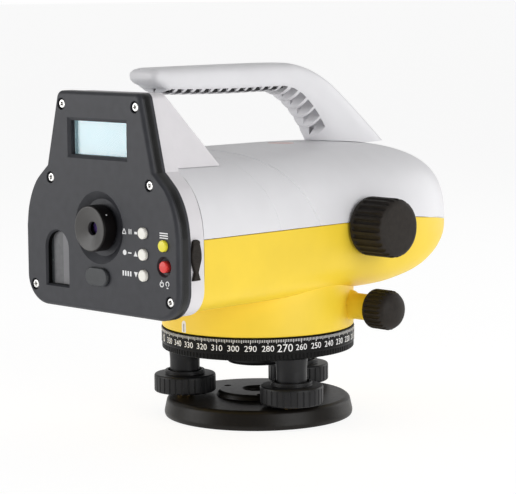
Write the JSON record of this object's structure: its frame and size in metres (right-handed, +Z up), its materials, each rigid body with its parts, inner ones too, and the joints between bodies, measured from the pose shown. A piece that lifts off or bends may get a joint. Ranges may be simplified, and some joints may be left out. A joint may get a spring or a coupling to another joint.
{
  "type": "automatic level",
  "caption": "Surveyor's electronic automatic level: eyepiece panel with display and keys, telescope casing with handle and focusing knob, graduated circle, three-screw levelling head.",
  "frame": {"origin": "centre of the base plate's underside, on the vertical axis, where the tripod screw enters", "axes": "+Z up along the vertical axis, +Y along the line of sight towards the target (the eyepiece panel faces -Y), +X to the user's right, the side of the focusing knob"},
  "size_m": [0.1718, 0.2456, 0.2042],
  "materials": {
    "charcoal": "fine moulded texture",
    "grey_paint": "satin, fine texture",
    "yellow_paint": "satin",
    "black_paint": "satin",
    "knob_rubber": "matte",
    "steel": "machined",
    "brass": "machined",
    "glass": "clear, coated",
    "lcd": "pale cyan display",
    "circuit_board": "laminate",
    "white_key": "smooth",
    "yellow_key": "smooth",
    "red_key": "smooth",
    "mirror": "polished",
    "black_metal": "black anodised"
  },
  "bodies": {
    "base": {"base_plate": "black_paint", "clamp_disc": "black_paint"},
    "foot_screw_1": {"foot_knob_1": "black_paint", "foot_spindle_1": "brass"},
    "foot_screw_2": {"foot_knob_2": "black_paint", "foot_spindle_2": "brass"},
    "foot_screw_3": {"foot_knob_3": "black_paint", "foot_spindle_3": "brass"},
    "level_link_1": {"foot_bush_1": "brass"},
    "level_link_2": {"foot_bush_2": "brass"},
    "tribrach": {"tribrach_body": "black_paint", "centre_spindle": "steel", "foot_bush_3": "brass"},
    "circle": {"circle_ring": "black_paint"},
    "clutch_wheel": {"worm_wheel": "brass"},
    "alidade": {"lower_housing": "yellow_paint", "top_cover": "grey_paint", "rear_housing": "grey_paint", "front_panel": "charcoal", "panel_screw_1": "steel", "panel_screw_2": "steel", "panel_screw_3": "steel", "panel_screw_4": "steel", "panel_screw_5": "steel", "panel_screw_6": "steel", "display_window": "glass", "lcd_module": "lcd", "bubble_window": "glass", "circular_level": "glass", "bubble_mirror": "mirror", "reticle_cover": "knob_rubber", "telescope_tube": "black_metal", "objective_ring": "black_metal", "objective_lens": "glass", "beam_splitter": "glass", "sensor_board": "circuit_board", "main_board": "circuit_board", "compensator_frame": "steel", "battery_pack": "charcoal", "handle": "grey_paint", "top_plug": "grey_paint", "port_socket": "steel", "bearing_bush": "steel"},
    "tangent": {"tangent_shaft": "steel", "tangent_knob_right": "knob_rubber", "tangent_knob_left": "knob_rubber"},
    "focus": {"focus_knob": "knob_rubber", "focus_shaft": "steel"},
    "focus_lens": {"focus_cell": "black_metal"},
    "eyepiece": {"eyepiece_ring": "black_metal"},
    "eyepiece_lens": {"eyepiece_cell": "glass"},
    "pendulum": {"compensator_pendulum": "brass"},
    "key_height": {"button_height": "white_key"},
    "key_record": {"button_record": "white_key"},
    "key_function": {"button_function": "white_key"},
    "key_menu": {"button_menu": "yellow_key"},
    "key_power": {"button_power": "red_key"},
    "battery_flap": {"battery_door": "yellow_paint"},
    "port_flap": {"port_cover": "knob_rubber"}
  },
  "joints": [
    {"name": "foot_screw_1_turn", "type": "hinge", "parent": "base", "child": "foot_screw_1", "pos_m": [0.04075, -0.01371, 0.0183], "axis": [0, 0, 1], "range_deg": [-1080, 1080]},
    {"name": "foot_screw_2_turn", "type": "hinge", "parent": "base", "child": "foot_screw_2", "pos_m": [-0.0085, 0.04215, 0.0183], "axis": [0, 0, 1], "range_deg": [-1080, 1080]},
    {"name": "foot_screw_3_turn", "type": "hinge", "parent": "base", "child": "foot_screw_3", "pos_m": [-0.03225, -0.02844, 0.0183], "axis": [0, 0, 1], "range_deg": [-1080, 1080]},
    {"name": "tilt_1", "type": "hinge", "parent": "base", "child": "level_link_1", "pos_m": [-0.02038, 0.00686, 0.0223], "axis": [-0.319, -0.9478, 0], "range_deg": [-2.01, 2.01]},
    {"name": "tilt_2", "type": "hinge", "parent": "level_link_1", "child": "level_link_2", "pos_m": [0.00425, -0.02108, 0.0223], "axis": [0.9803, 0.1977, 0], "range_deg": [-2.01, 2.01]},
    {"name": "tilt_3", "type": "hinge", "parent": "level_link_2", "child": "tribrach", "pos_m": [0.01613, 0.01422, 0.0223], "axis": [-0.6613, 0.7501, 0], "range_deg": [-2.01, 2.01]},
    {"name": "circle_turn", "type": "hinge", "parent": "tribrach", "child": "circle", "pos_m": [0, 0, 0.0463], "axis": [0, 0, 1], "continuous": true},
    {"name": "coarse_turn", "type": "hinge", "parent": "tribrach", "child": "clutch_wheel", "pos_m": [0, 0, 0.0654], "axis": [0, 0, 1], "continuous": true},
    {"name": "fine_turn", "type": "hinge", "parent": "clutch_wheel", "child": "alidade", "pos_m": [0, 0, 0.0654], "axis": [0, 0, 1], "continuous": true},
    {"name": "tangent_turn", "type": "hinge", "parent": "alidade", "child": "tangent", "pos_m": [0, 0.0269, 0.0654], "axis": [1, 0, 0], "continuous": true},
    {"name": "focus_turn", "type": "hinge", "parent": "alidade", "child": "focus", "pos_m": [0.07, 0.02655, 0.1124], "axis": [1, 0, 0], "range_deg": [-180, 180]},
    {"name": "focus_slide", "type": "slide", "parent": "alidade", "child": "focus_lens", "axis": [0, 1, 0], "range_m": [-0.0102, 0.0102]},
    {"name": "dioptre_turn", "type": "hinge", "parent": "alidade", "child": "eyepiece", "pos_m": [0, -0.12, 0.1189], "axis": [0, -1, 0], "range_deg": [-180, 180]},
    {"name": "dioptre_slide", "type": "slide", "parent": "alidade", "child": "eyepiece_lens", "axis": [0, -1, 0], "range_m": [-0.0013, 0.0013]},
    {"name": "compensator_swing", "type": "hinge", "parent": "alidade", "child": "pendulum", "pos_m": [0, -0.01, 0.1253], "axis": [1, 0, 0], "range_deg": [-1, 1]},
    {"name": "height_press", "type": "slide", "parent": "alidade", "child": "key_height", "axis": [0, 1, 0], "range_m": [0, 0.0008], "stiffness_N_per_m": 1200, "springref_m": -0.0004},
    {"name": "record_press", "type": "slide", "parent": "alidade", "child": "key_record", "axis": [0, 1, 0], "range_m": [0, 0.0008], "stiffness_N_per_m": 1200, "springref_m": -0.0004},
    {"name": "function_press", "type": "slide", "parent": "alidade", "child": "key_function", "axis": [0, 1, 0], "range_m": [0, 0.0008], "stiffness_N_per_m": 1200, "springref_m": -0.0004},
    {"name": "menu_press", "type": "slide", "parent": "alidade", "child": "key_menu", "axis": [0, 1, 0], "range_m": [0, 0.0008], "stiffness_N_per_m": 1200, "springref_m": -0.0004},
    {"name": "power_press", "type": "slide", "parent": "alidade", "child": "key_power", "axis": [0, 1, 0], "range_m": [0, 0.0008], "stiffness_N_per_m": 1200, "springref_m": -0.0004},
    {"name": "battery_door_hinge", "type": "hinge", "parent": "alidade", "child": "battery_flap", "pos_m": [-0.0618, -0.024, 0.0873], "axis": [0, -1, 0], "range_deg": [0, 100]},
    {"name": "port_cover_hinge", "type": "hinge", "parent": "alidade", "child": "port_flap", "pos_m": [0.0627, -0.1075, 0.0945], "axis": [0, 1, 0], "range_deg": [0, 100]}
  ],
  "couplings": [
    {"joint": "tilt_1", "follows": "foot_screw_1_turn", "ratio": -0.0018506},
    {"joint": "tilt_2", "follows": "foot_screw_2_turn", "ratio": -0.0018506},
    {"joint": "tilt_3", "follows": "foot_screw_3_turn", "ratio": -0.0018506},
    {"joint": "fine_turn", "follows": "tangent_turn", "ratio": 0.0083333},
    {"joint": "focus_slide", "follows": "focus_turn", "m_per_rad": 0.0032},
    {"joint": "dioptre_slide", "follows": "dioptre_turn", "m_per_rad": 0.0004}
  ]
}
